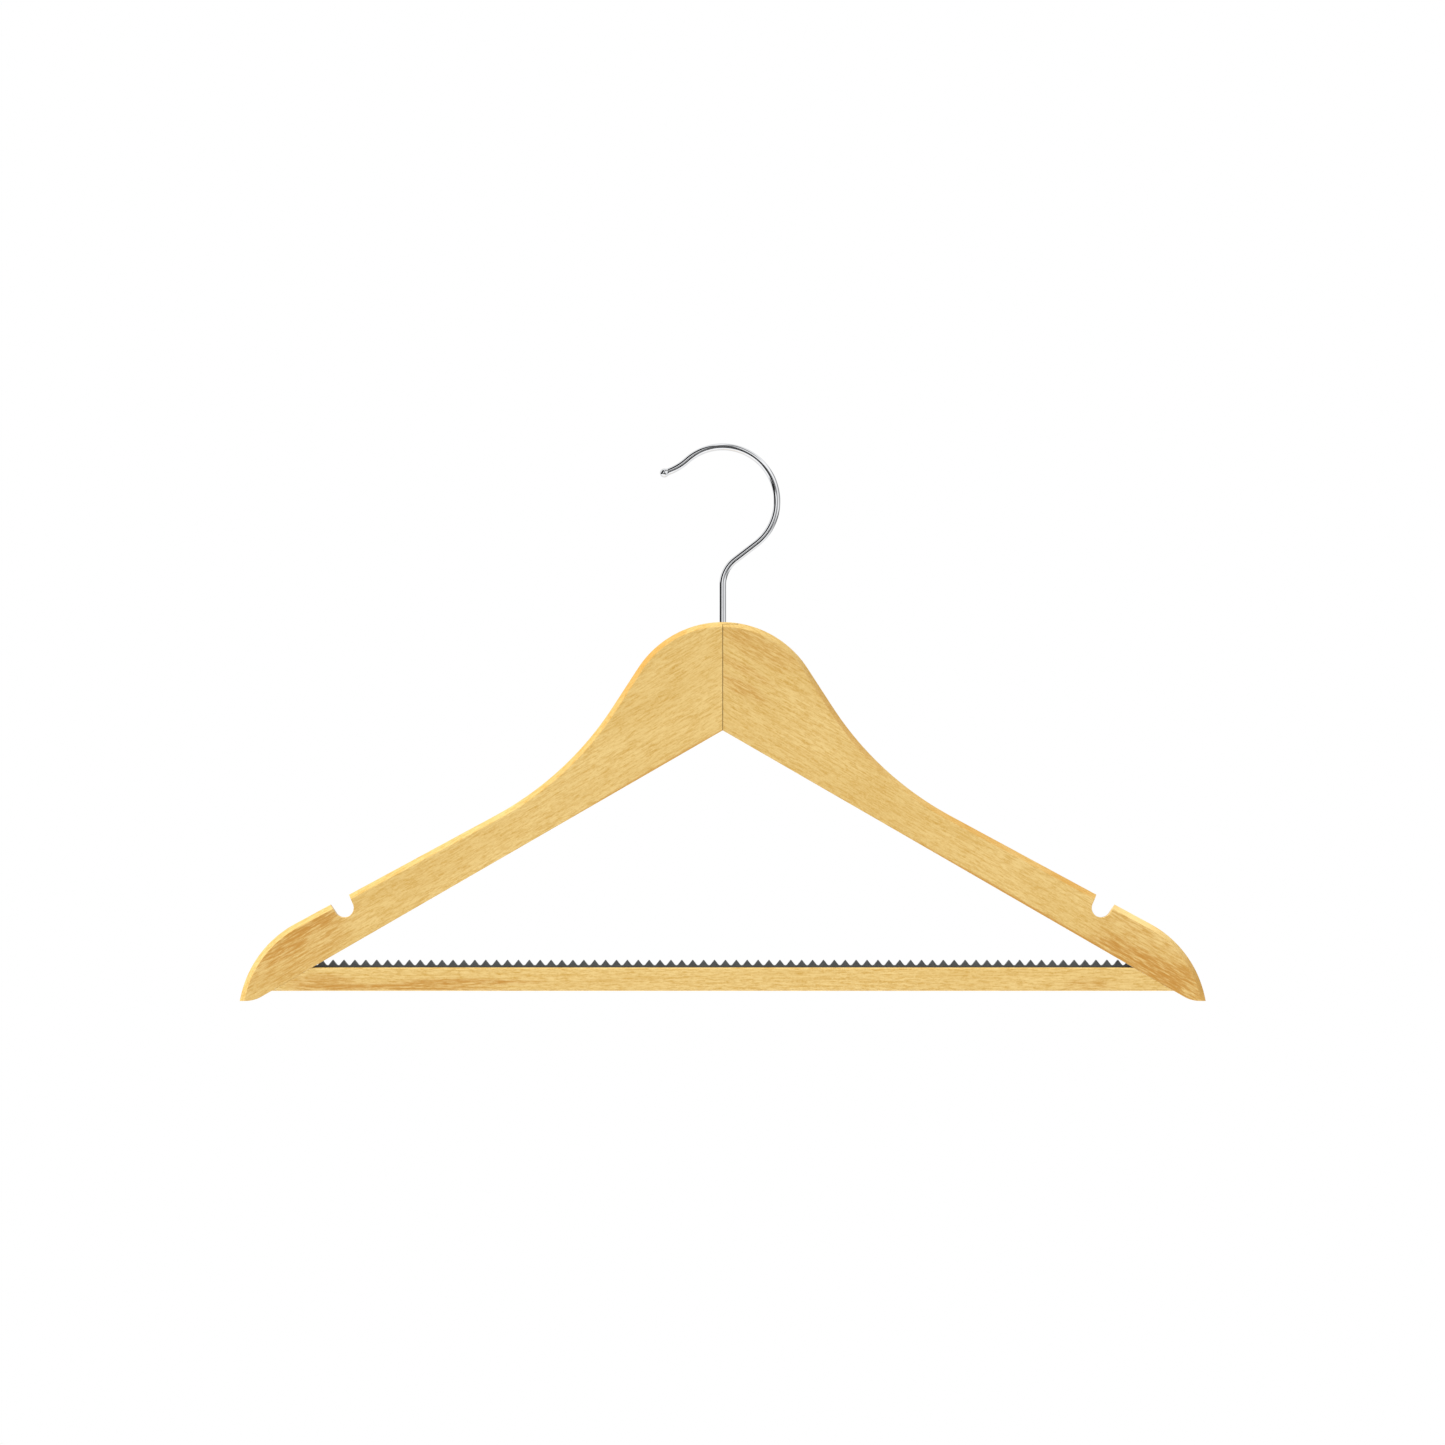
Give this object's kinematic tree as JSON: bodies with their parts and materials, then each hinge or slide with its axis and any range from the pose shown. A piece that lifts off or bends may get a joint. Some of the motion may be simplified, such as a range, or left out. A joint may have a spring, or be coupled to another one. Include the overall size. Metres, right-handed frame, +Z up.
{
  "type": "clothes hanger",
  "caption": "Flat wooden clothes hanger with strap notches, a swivelling wire hook and a trouser bar topped by a toothed grip strip.",
  "frame": {"origin": "the seat of the hook: the inside of its top, where it rests on a rail, on the axis of the hook's shank", "axes": "+X across the shoulders, with the hook's mouth towards -X; +Y through the board, from the front face to the back; +Z up as it hangs"},
  "size_m": [0.4448, 0.012, 0.2569],
  "materials": {
    "wood": "satin clear lacquer over pale yellow hardwood, grain along each arm",
    "bar_wood": "satin clear lacquer over pale yellow hardwood, grain along the bar",
    "dowel_wood": "bare beech",
    "grip_vinyl": "matt charcoal soft vinyl",
    "hook_chrome": "bright chrome plate on steel wire",
    "zinc": "bright zinc plate"
  },
  "bodies": {
    "hook": {"hook": "hook_chrome", "hook_nut": "zinc"},
    "hanger_frame": {"left_arm": "wood", "right_arm": "wood", "trouser_bar": "bar_wood", "left_bar_dowel": "dowel_wood", "right_bar_dowel": "dowel_wood", "grip_strip": "grip_vinyl", "hook_washer": "zinc"}
  },
  "joints": [
    {"name": "hook_swivel", "type": "hinge", "parent": "hook", "child": "hanger_frame", "pos_m": [0, 0, -0.0792], "axis": [0, 0, 1], "continuous": true}
  ]
}
